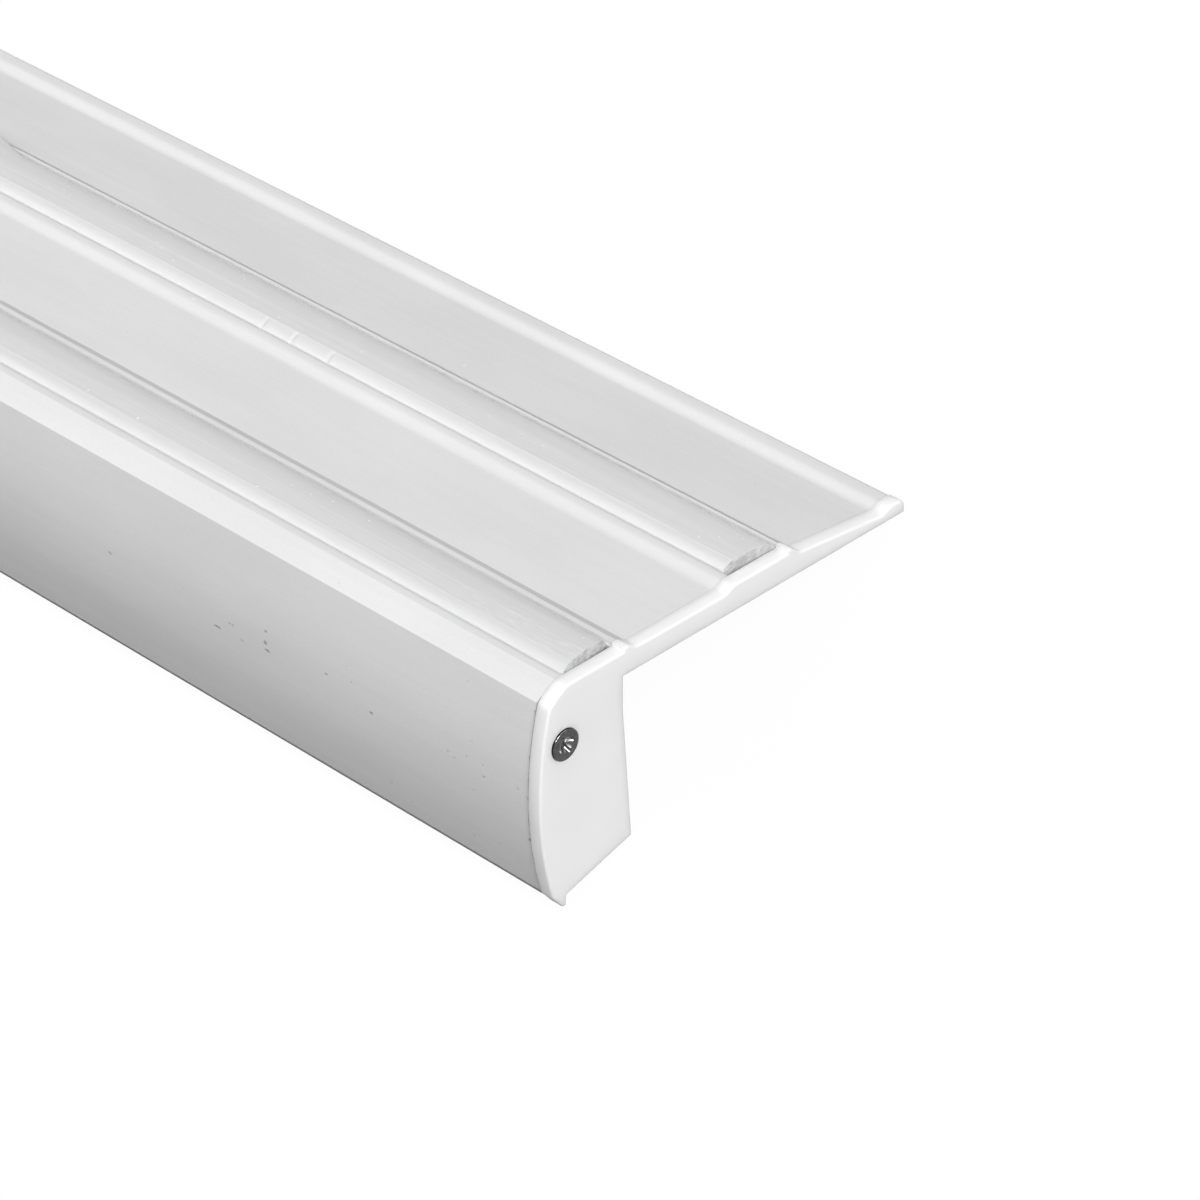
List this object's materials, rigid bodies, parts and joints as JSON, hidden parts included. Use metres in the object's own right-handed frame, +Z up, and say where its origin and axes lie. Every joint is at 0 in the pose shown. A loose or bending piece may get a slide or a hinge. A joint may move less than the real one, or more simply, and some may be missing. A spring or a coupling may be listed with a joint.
{
  "type": "stair nosing",
  "caption": "Aluminium stair nosing with a hollow bowed nose, a slanted light window under it, domed grip strips in the tread and screwed-on white end caps.",
  "frame": {"origin": "on the floor, under the middle of the whole part as it rests on the feet of its caps and the tread's back tip", "axes": "+X along the profile towards the right-hand cap seen from the front, +Y from the nose back along the tread, +Z up; the tread slopes down to the back by 26.28 degrees about X"},
  "size_m": [1.006, 0.0864, 0.0376],
  "materials": {
    "anodised_aluminium": "satin silver anodised, fine lengthwise brushing",
    "grip_strip_plastic": "translucent clear-grey, lightly scuffed lengthwise",
    "opal_cover": "opal white, matt",
    "cap_plastic": "white moulded, fine satin",
    "screw_steel": "bright steel"
  },
  "bodies": {
    "root": {"nosing_profile": "anodised_aluminium", "front_grip_strip": "grip_strip_plastic", "rear_grip_strip": "grip_strip_plastic", "light_cover": "opal_cover", "end_cap_right": "cap_plastic", "end_cap_left": "cap_plastic", "end_cap_screw_right": "screw_steel", "end_cap_screw_left": "screw_steel"}
  },
  "joints": []
}
